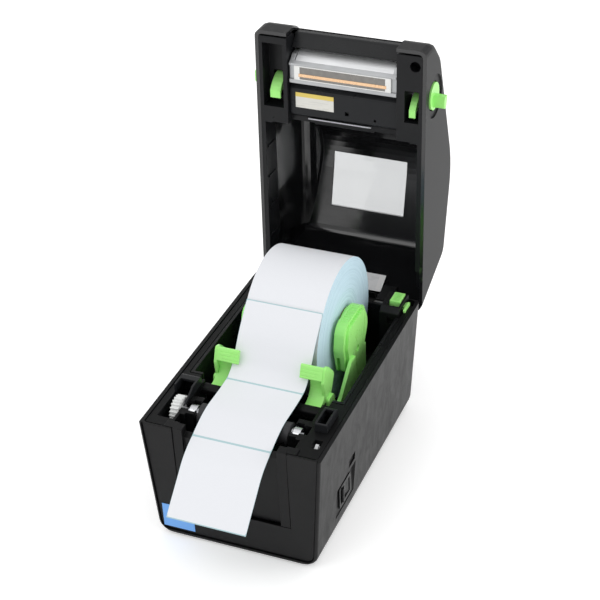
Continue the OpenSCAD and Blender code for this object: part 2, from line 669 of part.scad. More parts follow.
// The loose end of the labels: off the roll, over the platen and down past the front.
module label_web() color("#f3f6fb") place() along_x([-label_w / 2, label_w / 2], strip(spline([
    [roll_y, roll_z] + (roll_r + 0.5) * [cos(leave - 12), sin(leave - 12)],
    [roll_y, roll_z] + (roll_r + 0.5) * [cos(leave), sin(leave)],
    [78, 107], [70.5, 97], [64.5, 89.5], [57.5, 85.2], [48, 84.2], [38, 84], [27, 83.95],
    [18, 82.3], [7.5, 78.8], [-7.5, 72.3], [-20, 61.5], [-35, 47.7], [-46, 36]]), web_t));

// ---------------------------------------------------------------- lid

// Side outline of the closed lid. It runs on below the mating plane, where it is cut off.
lid_low = 50;
lid_outline = rounded([[-0.5, lid_low, 0], [-0.4, 99.5, 14], [14, 113.5, 20],
    [101, mate_z + lid_h, 60], [163, 130, 10], [181.3, 84.5, 6], [181.3, lid_low, 0]], 8);
hem_z = 80;            // lower edge of the lid's rear wall

// A lid-shaped block, its faces moved in by inset and its side edges rounded.
module lid_block(inset, edge) hull() for (a = [0, 35, 65, 90]) let (
    x = lid_w / 2 - inset - edge * (1 - sin(a))
) translate([-x, 0, 0]) rotate([90, 0, 90]) linear_extrude(2 * x)
    offset(delta = -inset - edge * (1 - cos(a))) polygon(lid_outline);

window_y = 124.5;
pocket_x = [-35, 37];  // opening between the pads, where the labels come out
lever_r = 14;

// On the lid's long upper face: x across, y along it, z out of it.
module on_face(x, y)
translate([x, y, slope_z + (y - slope_y) * tan(slope)]) rotate([slope, 0, 0]) children();

button_p = [30, 40];
lens_p = [30, 52];

module lid_cover() color("#1c1d1f") open_lid() difference() {
    union() {
        difference() {
            lid_block(0, 4);
            lid_block(wall, 2.5);
            // Under the mating plane only the rear wall stays.
            box([-big, big], [-9, body_d - 1.2], [0, mate_z]);
            box([-big, big], [-9, big], [0, hem_z]);
        }
        // Curved cheeks inside, from the side rails up to the roof.
        intersection() {
            lid_block(1, 3);
            both_sides() along_y([66, 158], strip(spline([[57, 88], [54.8, 101.5], [52, 113], [46, 125],
                [37.5, 134], [30, 150], [28, 160]]), 1.8));
        }
        both_sides() {
            rod_x(arm_x, hinge_y, hinge_z, knuckle_r);
            along_x(arm_x, [[hinge_y - knuckle_r, hinge_z], [hinge_y - knuckle_r, 92], [176.6, 92],
                [179.5, 85], [180.9, 82], [180.9, hinge_z]]);
        }
    }
    both_sides() rod_x([20, 45], hinge_y, hinge_z, pin_r + run);
    // Where the labels come out, under the exit bar.
    box(pocket_x, [-9, 12], [50, 104]);
    // Window.
    box([-window_w / 2, window_w / 2], [window_y - window_l / 2, window_y + window_l / 2], [110, 160]);
    // Scooped recesses and slots for the latch levers.
    both_sides() rod_x([lid_w / 2 - 1, 70], latch_y, latch_z, lever_r);
    both_sides() rod_x([40, 70], latch_y, latch_z, 9.6);
    on_face(button_p[0], button_p[1]) cylinder(r = 5.8, h = 20, center = true);
    on_face(lens_p[0], lens_p[1]) cylinder(r = 1.8, h = 20, center = true);
}

pad_x = [[-53.7, -35.2], [37.2, 53.7]];
pad_top = 98;

// Inner frame: two pads that close on the deck, a crossbar behind the print head, side rails.
module lid_frame() color("#2f3033") open_lid() difference() {
    union() {
        for (x = pad_x) along_x(x, rounded([[3.2, mate_z, 0.5], [3.2, 94.6, 5], [10, pad_top, 4],
            [60, pad_top, 0], [60, mate_z, 0.5]]));
        along_x([pad_x[0][0], pad_x[1][1]], rounded([[57, 90, 1], [57, pad_top, 1], [62.4, pad_top, 1],
            [62.4, 90.2, 1]]));
        for (x = pad_x) along_x(x, rounded([[52, mate_z, 0], [52, pad_top, 0], [62.4, pad_top, 1],
            [62.4, mate_z, 1]]));
        both_sides() along_x([51, 53.7], rounded([[55, mate_z, 0], [55, pad_top, 0], [150, 101, 6],
            [171, mate_z, 2]]));
        both_sides() for (y = [80 : 22 : 146]) box([50.2, 51.2], [y, y + 1.4], [mate_z + 2, 96]);
    }
    // Slots for the strikers and the gear.
    box([-51.6, -37.9], [7.6, 50.6], [80, 94]);
    box([-49, -39], [30, 47], [90, 110]);
    box([42.4, 51.6], [26.8, 48], [80, 110]);
    translate([49.1, 10.2, 80]) cylinder(r = 3.4, h = 12);
    // Bore of the latch shaft.
    rod_x([-60, 60], latch_y, latch_z, 2.5 + run);
    // Clearance of the guides when they are slid outwards, and of the holder lock's lever.
    both_sides() box([19.8, 46], [61.2, 63], [80, 101]);
    box([50.8, 54], [153.4, 173], [80, 86.5]);
}

module exit_bar() color("#3b3c3f") open_lid() along_x(pocket_x + [0.2, -0.2], rounded([
    [4.6, 103.7, 0.8], [4.6, 98.5, 3], [11.8, 91.4, 0.7], [12.8, 92.8, 0.5], [8.6, 98, 2],
    [8.8, 103.7, 0.5]]));

module lid_window() color("#aeb6bd", 0.5) open_lid() intersection() {
    difference() {
        lid_block(0.4, 4);
        lid_block(wall - 0.4, 2.5);
    }
    box([0.2 - window_w / 2, window_w / 2 - 0.2],
        [window_y - window_l / 2 + 0.2, window_y + window_l / 2 - 0.2], [110, 160]);
}

plate_x = [-34.8, 36.8];

// Black cover plate behind the print head; it presses the web towards the platen.
module head_cover_plate() color("#37383b") open_lid() difference() {
    along_x(plate_x, rounded([[34.2, 91, 0.5], [38, 86.4, 1.5], [55.4, 86.4, 1.5], [56.8, 89.6, 1],
        [56.8, 97.8, 0.5], [55.2, 97.8, 0.5], [55.2, 89.4, 1], [38.6, 88.2, 1], [35.6, 92, 0.5]]));
    box([2, 4.6], [48.8, 51.4], [80, 89.3]);
    translate([22, 52, 80]) cylinder(r = 0.9, h = 9);
}

module head_sticker() color("#f2ead0") open_lid()
    box([-31, -5.4], [39.8, 50], [86.15, 86.35]);

module static_brush() color("#c9ccd0") open_lid() union() {
    box([-23, 19], [57, 57.8], [86.6, 89.4]);
    for (k = [0 : 20]) box([-22.6 + 2 * k, -21.6 + 2 * k], [57, 57.8], [86, 86.8]);
}

module lid_sticker() color("#ececec") open_lid()
    along_x([-20, 26], [[170.3, 98.2], [176.1, 86.4], [175.9, 86.3], [170.1, 98.1]]);

// ---------------------------------------------------------------- print head

bridge_z = 110;

module spring_bridge() color("#a7aaae") open_lid() difference() {
    union() {
        along_x([-45, 47], rounded([[18, bridge_z, 0], [18, bridge_z + 1.5, 0.6],
            [38, bridge_z + 1.5, 0.6], [38, bridge_z, 0]]));
        for (x = [[-45, -43.5], [45.5, 47]]) box(x, [20, 30], [pad_top + 0.05, bridge_z + 1]);
    }
    for (x = [-20, 22]) translate([x, 26.5, 100]) cylinder(r = 1.6, h = 20);
}

module head_springs() color("#c4c7ca") open_lid() for (x = [-20, 22]) translate([x, 26.5, 97.7])
    for (k = [0 : 4]) translate([0, 0, 0.6 + 2.6 * k]) rotate_extrude() translate([3, 0]) circle(r = 0.6);

module heat_sink() color("#d6d9db") open_lid() difference() {
    along_x([-31.4, 33.4], rounded([[13.4, 97.5, 0.5], [19.8, 87.3, 0.5], [33, 87.3, 0.5], [33, 90.4, 0.5],
        [30.5, 90.4, 0.5], [30.5, 97.5, 0.5]]));
    for (y = [18.5 : 3 : 28]) box([-36, 38], [y, y + 1.5], [91.5, 98]);
}

module head_bracket() color("#b9bcbf") open_lid() union() {
    // Hook-shaped ears at both ends.
    for (x = [[-34.4, -31.7], [33.7, 36.4]]) along_x(x, rounded([[33.2, 87.2, 0.4], [33.2, 91.4, 1],
        [24, 91.4, 2], [19.4, 94.6, 2], [17.4, 97.3, 0.8], [14.6, 96.4, 0.8], [15.6, 90.6, 3],
        [19, 86.9, 0.5], [24, 86.9, 0.2], [31.8, 87, 0]]));
    along_x([-34.4, 36.4], rounded([[18.4, 87.2, 0.3], [20, 84.7, 0.4], [21, 84.7, 0], [21, 86, 0],
        [30.6, 86, 0], [30.6, 84.9, 0.3], [33.2, 84.9, 0.3], [33.2, 87.2, 0]]));
}

module head_ceramic() color("#a9a79f") open_lid() difference() {
    box([-31, 33], [21.1, 30.5], [84.65, 85.95]);
    box([-28, 30], [26.15, 28.25], [84, 84.85]);
}

module heater_line() color("#e0b080") open_lid() box([-28, 30], [26.2, 28.2], [84.5, 84.83]);

// ---------------------------------------------------------------- latch

hook_x = [[-47.6, -40.6], [44.9, 49.1]];

module latch_shaft() color("#b9bcc0") open_lid() rod_x([-55.6, 55.6], latch_y, latch_z, 2.5);

module hook(x) difference() {
    union() {
        rod_x(x, latch_y, latch_z, 4.6);
        along_x(x, concat([[latch_y - 1, latch_z - 3]],
            [for (a = [0 : 10 : 60]) [latch_y + 13 - 17.5 * cos(a), latch_z - 1.5 - 17.5 * sin(a)]],
            [[45, 84.4], [45, 85.6], [42.4, 85.7], [40.2, 89], [latch_y + 4, latch_z - 1]]));
    }
    rod_x([-60, 60], latch_y, latch_z, 2.5);
}

module latch_hooks() color("#7ed957") open_lid() for (x = hook_x) hook(x);

module latch_levers() color("#86df5f") open_lid() both_sides() difference() {
    union() {
        rod_x([54.2, 56.2], latch_y, latch_z, 8.8);
        along_x([54.8, 63.6], rounded([[34.5, 97.6, 1], [42.6, 97.6, 1.5], [42.6, 101.2, 1.5],
            [34.5, 103.4, 1]]));
    }
    rod_x([50, 55.6], latch_y, latch_z, 2.5);
}

module latch_spring() color("#c4c7ca") open_lid()
for (k = [0 : 5]) translate([8 + 1.5 * k, latch_y, latch_z])
    rotate([0, 90, 0]) rotate_extrude() translate([3.3, 0]) circle(r = 0.55);

module feed_button() color("#55585c") open_lid() on_face(button_p[0], button_p[1]) union() {
    translate([0, 0, -4]) cylinder(r = 5.5, h = 4.9);
    translate([0, 0, -6.5]) cylinder(r = 7, h = 2.6);
}

module status_lens() color("#9fd8ff") open_lid() on_face(lens_p[0], lens_p[1])
    translate([0, 0, -4]) cylinder(r = 1.7, h = 4.2);

base_shell();
bottom_plate();
rubber_feet();
case_screws();
front_panel();
front_sticker();
deck_frame();
left_striker();
right_striker();
media_tray();
hinge_pins();
platen_shaft();
platen_rubber();
platen_gear();
left_bearing();
right_bearing();
gear_bracket();
idler_gear();
motor_body();
motor_pinion();
mainboard();
board_standoffs();
dc_inlet();
usb_socket();
network_socket();
switch_housing();
power_rocker();
head_open_sensor();
media_sensor();
sync_pinion();
left_holder();
right_holder();
left_guide();
right_guide();
lock_block();
lock_slider();
lock_lever();
label_roll();
roll_core();
label_web();
lid_cover();
lid_frame();
exit_bar();
lid_window();
head_cover_plate();
head_sticker();
static_brush();
lid_sticker();
spring_bridge();
head_springs();
heat_sink();
head_bracket();
head_ceramic();
heater_line();
latch_shaft();
latch_hooks();
latch_levers();
latch_spring();
feed_button();
status_lens();
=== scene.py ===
import math
import random

import bmesh
import bpy
from mathutils import Matrix, Vector


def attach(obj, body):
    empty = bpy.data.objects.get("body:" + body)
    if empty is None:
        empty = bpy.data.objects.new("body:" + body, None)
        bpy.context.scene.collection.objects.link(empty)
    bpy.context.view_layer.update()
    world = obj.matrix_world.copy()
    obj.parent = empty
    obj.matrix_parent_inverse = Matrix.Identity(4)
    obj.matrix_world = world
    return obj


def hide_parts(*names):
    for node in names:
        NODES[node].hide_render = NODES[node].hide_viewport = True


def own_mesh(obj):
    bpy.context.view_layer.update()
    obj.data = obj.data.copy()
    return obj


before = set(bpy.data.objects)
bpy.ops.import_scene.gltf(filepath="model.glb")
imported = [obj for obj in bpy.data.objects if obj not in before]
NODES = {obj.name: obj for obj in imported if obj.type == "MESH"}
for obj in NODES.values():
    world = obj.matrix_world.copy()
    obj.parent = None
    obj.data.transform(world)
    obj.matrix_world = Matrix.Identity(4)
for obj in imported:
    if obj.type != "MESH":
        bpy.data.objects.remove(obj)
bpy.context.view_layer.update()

MM = 0.001
FRAME_Y, FOOT = 106.0, 2.0            # from the case's own measures to the row frame, mm
HINGE_Y, HINGE_Z = 177.9, 74.1
OPEN = math.radians(-91.3)
ROLL_Y, ROLL_Z, ROLL_R, CORE_R, LABEL_W = 124.3, 88.4, 45.8, 13.9, 50.0


def at(x, y, z):
    """A place in the case's own millimetres, in the row frame."""
    return Vector((x, y - FRAME_Y, z + FOOT)) * MM


def on_lid(x, y, z):
    """A place drawn for the closed lid, where the open lid carries it."""
    dy, dz = y - HINGE_Y, z - HINGE_Z
    return at(x, HINGE_Y + dy * math.cos(OPEN) - dz * math.sin(OPEN),
              HINGE_Z + dy * math.sin(OPEN) + dz * math.cos(OPEN))


# ------------------------------------------------------------------ node helpers


class Nodes:
    """A material under construction, with short ways to add its nodes."""

    def __init__(self, name, color, rough, metal=0.0):
        self.mat = bpy.data.materials.new(name)
        self.mat.use_nodes = True
        self.tree = self.mat.node_tree
        self.bsdf = self.tree.nodes["Principled BSDF"]
        self.set("Base Color", (*color, 1.0))
        self.set("Roughness", rough)
        self.set("Metallic", metal)
        self.mat.diffuse_color = (*color, 1.0)
        self.color, self.rough = color, rough
        self.coord = self.add("ShaderNodeTexCoord").outputs

    def set(self, socket, value):
        self.bsdf.inputs[socket].default_value = value

    def add(self, kind, **settings):
        node = self.tree.nodes.new(kind)
        for key, value in settings.items():
            setattr(node, key, value)
        return node

    def feed(self, socket, value):
        if isinstance(value, bpy.types.NodeSocket):
            self.tree.links.new(value, socket)
        else:
            socket.default_value = value

    def noise(self, scale, detail=4.0, rough=0.5, stretch=(1, 1, 1), distortion=0.0):
        mapping = self.add("ShaderNodeMapping")
        mapping.inputs["Scale"].default_value = stretch
        self.feed(mapping.inputs["Vector"], self.coord["Object"])
        node = self.add("ShaderNodeTexNoise")
        self.feed(node.inputs["Vector"], mapping.outputs[0])
        node.inputs["Scale"].default_value = scale
        node.inputs["Detail"].default_value = detail
        node.inputs["Roughness"].default_value = rough
        node.inputs["Distortion"].default_value = distortion
        return node.outputs[0]

    def math(self, operation, a, b=0.0, clamp=False):
        node = self.add("ShaderNodeMath", operation=operation, use_clamp=clamp)
        self.feed(node.inputs[0], a)
        self.feed(node.inputs[1], b)
        return node.outputs[0]

    def span(self, value, low, high, to_low, to_high):
        node = self.add("ShaderNodeMapRange")
        self.feed(node.inputs[0], value)
        for k, v in enumerate((low, high, to_low, to_high)):
            self.feed(node.inputs[k + 1], v)
        return node.outputs[0]

    def mix(self, factor, a, b):
        node = self.add("ShaderNodeMix", data_type="RGBA")
        self.feed(node.inputs["Factor"], factor)
        self.feed(node.inputs["A"], (*a, 1.0) if isinstance(a, tuple) else a)
        self.feed(node.inputs["B"], (*b, 1.0) if isinstance(b, tuple) else b)
        return node.outputs["Result"]

    def axis(self, name, source="Object"):
        node = self.add("ShaderNodeSeparateXYZ")
        self.feed(node.inputs[0], self.coord[source])
        return node.outputs[name]

    def bump(self, height, distance, strength=1.0, soft=0.0):
        """Surface relief, over edges that the shader softens by soft metres."""
        node = self.add("ShaderNodeBump")
        self.feed(node.inputs["Height"], height)
        node.inputs["Distance"].default_value = distance
        node.inputs["Strength"].default_value = strength
        if soft:
            bevel = self.add("ShaderNodeBevel", samples=4)
            bevel.inputs["Radius"].default_value = soft
            self.feed(node.inputs["Normal"], bevel.outputs[0])
        self.feed(self.bsdf.inputs["Normal"], node.outputs[0])

    def edges(self, radius):
        """About 1 along worn edges, 0 on flat faces."""
        bevel = self.add("ShaderNodeBevel", samples=4)
        bevel.inputs["Radius"].default_value = radius
        dot = self.add("ShaderNodeVectorMath", operation="DOT_PRODUCT")
        geometry = self.add("ShaderNodeNewGeometry")
        self.feed(dot.inputs[0], bevel.outputs[0])
        self.feed(dot.inputs[1], geometry.outputs["Normal"])
        return self.span(dot.outputs["Value"], 0.99, 0.8, 0.0, 1.0)

    def base(self, value):
        self.feed(self.bsdf.inputs["Base Color"], value)

    def roughness(self, value):
        self.feed(self.bsdf.inputs["Roughness"], value)


def scaled(color, k):
    return tuple(min(1.0, c * k) for c in color)


def plastic(name, color, rough, grain=1500, depth=0.00004, wear=0.3, soft=0.0004, gloss=0.2):
    """Moulded plastic: eroded grain, faint cloudiness, dust and rubbed edges."""
    m = Nodes(name, color, rough)
    m.set("Specular IOR Level", gloss)
    cloud = m.noise(22, 3, 0.6)
    tone = m.mix(cloud, scaled(color, 0.86), scaled(color, 1.14))
    rub = m.math("MULTIPLY", m.edges(soft * 1.6), m.math("MULTIPLY", m.noise(90, 4, 0.6), wear), True)
    m.base(m.mix(rub, tone, scaled(color, 1.9) if max(color) < 0.2 else scaled(color, 1.15)))
    smear = m.noise(60, 5, 0.65, (1, 2.2, 1), 0.6)
    m.roughness(m.span(smear, 0.3, 0.75, rough - 0.06, rough + 0.08))
    m.bump(m.noise(grain, 2, 0.5), depth, 0.55, soft)
    return m


def brushed(name, color, rough, along=(1, 40, 40), depth=0.00002, soft=0.00025):
    """Metal with fine lines along one direction and faint stains."""
    m = Nodes(name, color, rough, 1.0)
    lines = m.noise(60, 3, 0.6, along)
    m.base(m.mix(m.noise(35, 4, 0.6), scaled(color, 0.82), scaled(color, 1.06)))
    m.roughness(m.span(lines, 0.3, 0.7, rough - 0.08, rough + 0.12))
    m.bump(lines, depth, 0.5, soft)
    return m


def cast(name, color, rough):
    """Die-cast, blasted metal."""
    m = Nodes(name, color, rough, 0.75)
    m.base(m.mix(m.noise(160, 4, 0.6), scaled(color, 0.8), scaled(color, 1.12)))
    m.roughness(m.span(m.noise(320, 3), 0.3, 0.7, rough - 0.06, rough + 0.1))
    m.bump(m.noise(2600, 3, 0.6), 0.00005, 0.6, 0.0003)
    return m


def paper(name, color, rough=0.55):
    """Coated paper: faint fibres and a slightly uneven surface."""
    m = Nodes(name, color, rough)
    fibre = m.noise(900, 5, 0.7, (1, 3, 1))
    m.base(m.mix(fibre, scaled(color, 0.965), scaled(color, 1.02)))
    m.roughness(m.span(m.noise(120, 3), 0.3, 0.7, rough - 0.05, rough + 0.05))
    m.bump(fibre, 0.000015, 0.4)
    return m


# ------------------------------------------------------------------ materials

GREEN = (0.38, 0.88, 0.23)
MATS = {}
MATS["case"] = plastic("case_black", (0.006, 0.006, 0.0064), 0.42, 1500, 0.00006, gloss=0.17)
MATS["deck"] = plastic("deck_black", (0.0045, 0.0047, 0.005), 0.38, 1700, 0.00004, gloss=0.12)
MATS["panel"] = plastic("panel_black", (0.005, 0.005, 0.0054), 0.36, 1900, 0.00003, gloss=0.16)
MATS["tray"] = plastic("tray_black", (0.005, 0.0052, 0.0056), 0.3, 1200, 0.00003)
MATS["pads"] = plastic("pad_black", (0.008, 0.0084, 0.0094), 0.32, 1800, 0.00003)
MATS["bar"] = plastic("exit_bar_black", (0.012, 0.0125, 0.0135), 0.3, 1800, 0.00003)
MATS["plate"] = plastic("plate_black", (0.012, 0.0128, 0.0145), 0.3, 2000, 0.00002)
MATS["striker"] = plastic("striker_black", (0.012, 0.0128, 0.0145), 0.34, 1800, 0.00003)
MATS["white"] = plastic("gear_white", (0.84, 0.85, 0.84), 0.36, 1400, 0.00002, 0.3)
MATS["grey"] = plastic("sensor_grey", (0.62, 0.63, 0.64), 0.4, 1600, 0.00002, 0.3)
MATS["button"] = plastic("button_grey", (0.09, 0.095, 0.1), 0.25, 2200, 0.00001)
MATS["motor"] = plastic("motor_black", (0.03, 0.03, 0.033), 0.45, 1300, 0.00004)


def green_plastic():
    m = plastic("green_plastic", GREEN, 0.3, 1500, 0.00002, 0.35, 0.0005)
    m.set("Subsurface Weight", 0.08)
    m.set("Subsurface Radius", (0.4, 1.0, 0.3))
    m.set("Subsurface Scale", 0.0012)
    return m


def glossy_inside():
    """The lid's cover: polished within, grained outside."""
    m = plastic("lid_black", (0.007, 0.0072, 0.008), 0.4, 1500, 0.00004, 0.3, 0.0004, 0.42)
    faces_front = m.math("LESS_THAN", m.axis("Y", "Normal"), -0.12)
    across = m.math("MULTIPLY", m.axis("X", "Normal"), m.axis("X"))
    inside = m.math("MAXIMUM", faces_front, m.math("LESS_THAN", across, -0.01), True)
    haze = m.span(m.noise(45, 5, 0.65, (1, 1, 2)), 0.35, 0.75, 0.09, 0.2)
    m.roughness(m.span(inside, 0.0, 1.0, 0.45, haze))
    m.feed(m.bsdf.inputs["Specular IOR Level"], m.span(inside, 0.0, 1.0, 0.16, 0.75))
    m.bump(m.math("MULTIPLY", m.noise(1500, 2), m.math("SUBTRACT", 1.0, inside)), 0.00004, 0.5, 0.0004)
    return m


def smoked_window():
    m = Nodes("window_clear", (0.90, 0.91, 0.92), 0.04)
    m.set("Transmission Weight", 0.95)
    m.set("IOR", 1.49)
    m.base(m.mix(m.noise(60, 3), (0.56, 0.57, 0.575), (0.61, 0.62, 0.625)))
    m.roughness(m.span(m.noise(240, 5, 0.7, (1, 1, 9)), 0.45, 0.8, 0.04, 0.16))
    m.bump(m.noise(30, 2), 0.0001, 0.15)
    return m


def ground_rubber(name, color, along):
    m = Nodes(name, color, 0.62)
    fine = m.noise(800, 4, 0.6, along)
    m.base(m.mix(m.noise(70, 5, 0.7), scaled(color, 0.8), scaled(color, 1.5)))
    m.roughness(m.span(fine, 0.3, 0.7, 0.52, 0.74))
    m.bump(fine, 0.00003, 0.6, 0.0003)
    return m


def two_tone(name, lower, upper, axis, edge):
    """A plain sticker with a band of another colour above one height."""
    m = paper(name, lower, 0.42)
    band = m.math("GREATER_THAN", m.axis(axis), edge)
    grey = m.math("GREATER_THAN", m.noise(260, 1, 0.3, (0.5, 1, 3)), 0.6)
    fleck = m.math("MULTIPLY", grey, m.math("SUBTRACT", 1.0, band))
    body = m.mix(m.math("MULTIPLY", fleck, 0.18), lower, scaled(lower, 0.55))
    m.base(m.mix(band, body, upper))
    return m


def wound_paper():
    """The side of the roll: one bright line for each turn of liner."""
    m = paper("roll_side", (0.48, 0.65, 0.74), 0.7)
    y = m.math("SUBTRACT", m.axis("Y"), at(0, ROLL_Y, ROLL_Z).y)
    z = m.math("SUBTRACT", m.axis("Z"), at(0, ROLL_Y, ROLL_Z).z)
    radius = m.math("SQRT", m.math("ADD", m.math("MULTIPLY", y, y), m.math("MULTIPLY", z, z)))
    turns = m.math("SINE", m.math("MULTIPLY", radius, 2 * math.pi / 0.00042))
    broad = m.add("ShaderNodeTexNoise", noise_dimensions="1D")
    m.feed(broad.inputs["W"], m.math("MULTIPLY", radius, 700))
    broad.inputs["Scale"].default_value = 1.0
    lines = m.math("ADD", m.math("MULTIPLY", turns, 0.25), m.math("MULTIPLY", broad.outputs[0], 1.2))
    m.base(m.mix(m.span(lines, 0.2, 1.0, 0.0, 1.0), (0.46, 0.63, 0.72), (0.57, 0.74, 0.83)))
    m.bump(lines, 0.00005, 0.5)
    return m


def core_board():
    m = paper("core_card", (0.40, 0.27, 0.15), 0.8)
    m.base(m.mix(m.noise(400, 5, 0.7, (0.3, 1, 1)), (0.30, 0.19, 0.10), (0.50, 0.36, 0.21)))
    return m


def ceramic():
    """Grey glaze with a pale border."""
    m = Nodes("ceramic_grey", (0.22, 0.21, 0.19), 0.22)
    middle = on_lid(1, 25.8, 84.65)
    half = 28.3 * MM, 4.1 * MM
    far = [m.math("GREATER_THAN", m.math("ABSOLUTE", m.math("SUBTRACT", m.axis(name), centre)), limit)
           for name, centre, limit in (("X", middle.x, half[0]), ("Z", middle.z, half[1]))]
    border = m.math("MAXIMUM", *far)
    m.base(m.mix(border, m.mix(m.noise(300, 3), (0.16, 0.15, 0.14), (0.25, 0.24, 0.22)), (0.8, 0.8, 0.78)))
    m.roughness(m.span(m.noise(200, 3), 0.3, 0.7, 0.15, 0.3))
    m.bump(m.noise(900, 2), 0.00001, 0.3, 0.0002)
    return m


def heater():
    m = Nodes("heater_glaze", (0.83, 0.55, 0.32), 0.22, 0.5)
    m.base(m.mix(m.noise(120, 4, 0.6, (6, 1, 1)), (0.72, 0.43, 0.23), (0.9, 0.63, 0.4)))
    m.roughness(m.span(m.noise(300, 3), 0.3, 0.7, 0.16, 0.3))
    m.bump(m.noise(700, 2), 0.00001, 0.3)
    return m


def board():
    m = Nodes("board_green", (0.02, 0.11, 0.055), 0.35)
    tracks = m.add("ShaderNodeTexBrick")
    m.feed(tracks.inputs["Vector"], m.coord["Object"])
    tracks.inputs["Scale"].default_value = 90
    tracks.inputs["Mortar Size"].default_value = 0.012
    m.base(m.mix(tracks.outputs["Fac"], (0.02, 0.11, 0.055), (0.035, 0.2, 0.09)))
    m.roughness(m.span(m.noise(150, 3), 0.3, 0.7, 0.28, 0.42))
    m.bump(tracks.outputs["Fac"], 0.00004, 0.5)
    return m


def lens():
    m = Nodes("lens_blue", (0.45, 0.75, 0.95), 0.12)
    m.set("Transmission Weight", 0.5)
    m.base(m.mix(m.noise(400, 2), (0.4, 0.7, 0.9), (0.5, 0.8, 1.0)))
    m.roughness(m.span(m.noise(500, 2), 0.3, 0.7, 0.08, 0.18))
    m.bump(m.noise(600, 2), 0.00002, 0.2)
    return m


MATS["green"] = green_plastic()
MATS["cover"] = glossy_inside()
MATS["window"] = smoked_window()
MATS["platen"] = ground_rubber("platen_black", (0.02, 0.02, 0.022), (0.15, 1, 1))
MATS["feet"] = ground_rubber("feet_black", (0.02, 0.02, 0.021), (1, 1, 1))
MATS["steel"] = brushed("steel", (0.64, 0.65, 0.67), 0.26)
MATS["sheet"] = brushed("sheet_steel", (0.56, 0.57, 0.59), 0.34, (1, 8, 30))
MATS["aluminium"] = brushed("aluminium", (0.86, 0.87, 0.88), 0.42, (1, 26, 26), 0.00003)
MATS["aluminium"].set("Metallic", 0.8)
MATS["socket"] = brushed("tinned_steel", (0.72, 0.72, 0.73), 0.24, (1, 30, 3))
MATS["brass"] = brushed("brass", (0.78, 0.58, 0.26), 0.3)
MATS["cast"] = cast("cast_grey", (0.47, 0.48, 0.49), 0.42)
MATS["label"] = paper("label_paper", (0.80, 0.815, 0.85), 0.55)
MATS["liner"] = paper("liner_paper", (0.42, 0.60, 0.63), 0.5)
MATS["side"] = wound_paper()
MATS["core"] = core_board()
MATS["ceramic"] = ceramic()
MATS["heater"] = heater()
MATS["blue"] = paper("blue_sticker", (0.14, 0.37, 0.80), 0.35)
BAND_EDGE = on_lid(0, 42.6, 86).z
MATS["cream"] = two_tone("cream_sticker", (0.70, 0.69, 0.64), (0.72, 0.55, 0.12), "Z", BAND_EDGE)
MATS["pale"] = two_tone("grey_sticker", (0.80, 0.81, 0.82), (0.86, 0.86, 0.86), "X", 0.022)
MATS["board"] = board()
MATS["lens"] = lens()

LOOKS = {
    "case": "base_shell bottom_plate lock_block",
    "deck": "deck_frame",
    "panel": "front_panel",
    "tray": "media_tray media_sensor switch_housing power_rocker dc_inlet",
    "pads": "lid_frame",
    "bar": "exit_bar",
    "plate": "head_cover_plate",
    "striker": "left_striker right_striker",
    "cover": "lid_cover",
    "window": "lid_window",
    "green": "left_holder right_holder left_guide right_guide lock_slider lock_lever latch_hooks "
             "latch_levers",
    "white": "platen_gear idler_gear sync_pinion",
    "grey": "head_open_sensor",
    "motor": "motor_body",
    "button": "feed_button",
    "lens": "status_lens",
    "platen": "platen_rubber",
    "feet": "rubber_feet",
    "steel": "platen_shaft hinge_pins latch_shaft latch_spring head_springs case_screws left_bearing "
             "right_bearing",
    "sheet": "gear_bracket spring_bridge static_brush",
    "aluminium": "heat_sink",
    "cast": "head_bracket",
    "ceramic": "head_ceramic",
    "heater": "heater_line",
    "socket": "usb_socket network_socket",
    "brass": "motor_pinion board_standoffs",
    "board": "mainboard",
    "label": "label_web",
    "side": "label_roll",
    "core": "roll_core",
    "blue": "front_sticker",
    "cream": "head_sticker",
    "pale": "lid_sticker",
}
SHARP = math.radians(32)
for look, names in LOOKS.items():
    for name in names.split():
        data = NODES[name].data
        data.materials.clear()
        data.materials.append(MATS[look].mat)
        data.shade_smooth()
        data.set_sharp_from_angle(angle=SHARP)


# ------------------------------------------------------------------ pieces


def piece(name, bm, body, nodes, looks, sharp=SHARP):
    """Turns mesh code's result into a named piece that rides on a body."""
    data = bpy.data.meshes.new(name)
    bm.normal_update()
    bm.to_mesh(data)
    bm.free()
    for look in looks:
        data.materials.append(MATS[look].mat)
    data.shade_smooth()
    data.set_sharp_from_angle(angle=sharp)
    obj = bpy.data.objects.new(name, data)
    bpy.context.scene.collection.objects.link(obj)
    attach(obj, body)
    if nodes:
        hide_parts(*nodes)
    return obj


def grid(bm, rows, look=0, close=False):
    """Faces between rows of vertices."""
    n = len(rows[0])
    for a, b in zip(rows, rows[1:]):
        for i in range(n if close else n - 1):
            face = bm.faces.new((a[i], a[(i + 1) % n], b[(i + 1) % n], b[i]))
            face.material_index = look


def tube(bm, path, radius, sides=8):
    """A round wire along a path."""
    rows = []
    for i, p in enumerate(path):
        along = (path[min(i + 1, len(path) - 1)] - path[max(i - 1, 0)]).normalized()
        side = along.orthogonal().normalized() if i == 0 else (side - along * side.dot(along)).normalized()
        up = along.cross(side)
        rows.append([bm.verts.new(p + radius * (side * math.cos(t) + up * math.sin(t)))
                     for t in (2 * math.pi * k / sides for k in range(sides))])
    grid(bm, rows, close=True)
    bm.faces.new(list(reversed(rows[0])))
    bm.faces.new(rows[-1])


TURNS, SEGMENTS = 72, 128


